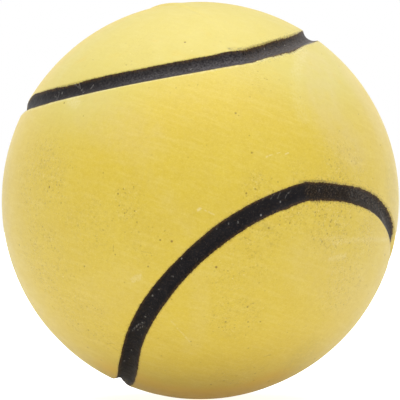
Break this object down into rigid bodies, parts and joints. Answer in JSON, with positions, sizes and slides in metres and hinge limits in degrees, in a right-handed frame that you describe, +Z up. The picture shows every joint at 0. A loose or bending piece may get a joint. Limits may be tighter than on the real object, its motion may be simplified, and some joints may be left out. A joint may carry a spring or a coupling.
{
  "type": "rubber ball",
  "caption": "Hollow yellow rubber ball for play and sport, with a black seam line in a moulded groove that winds round it as on a tennis ball.",
  "frame": {"origin": "the ball's centre", "axes": "+Z up as the ball lies in the picture, -Y towards the picture's camera, +X to its right; the ball is the same solid of revolution about any axis through its centre, apart from the seam's groove"},
  "size_m": [0.063, 0.0631, 0.063],
  "materials": {
    "yellow_rubber": "matte moulded rubber, slightly chalky, with pinholes and light scuffs",
    "black_seam": "matte black seam ink with ragged edges and dust",
    "rubber_cement": "cured rubber cement, satin",
    "plug_rubber": "soft raw rubber, matte"
  },
  "bodies": {
    "root": {"left_half_shell": "yellow_rubber", "right_half_shell": "yellow_rubber", "seam_line": "black_seam", "cement_ring": "rubber_cement", "sealing_plug": "plug_rubber"}
  },
  "joints": []
}
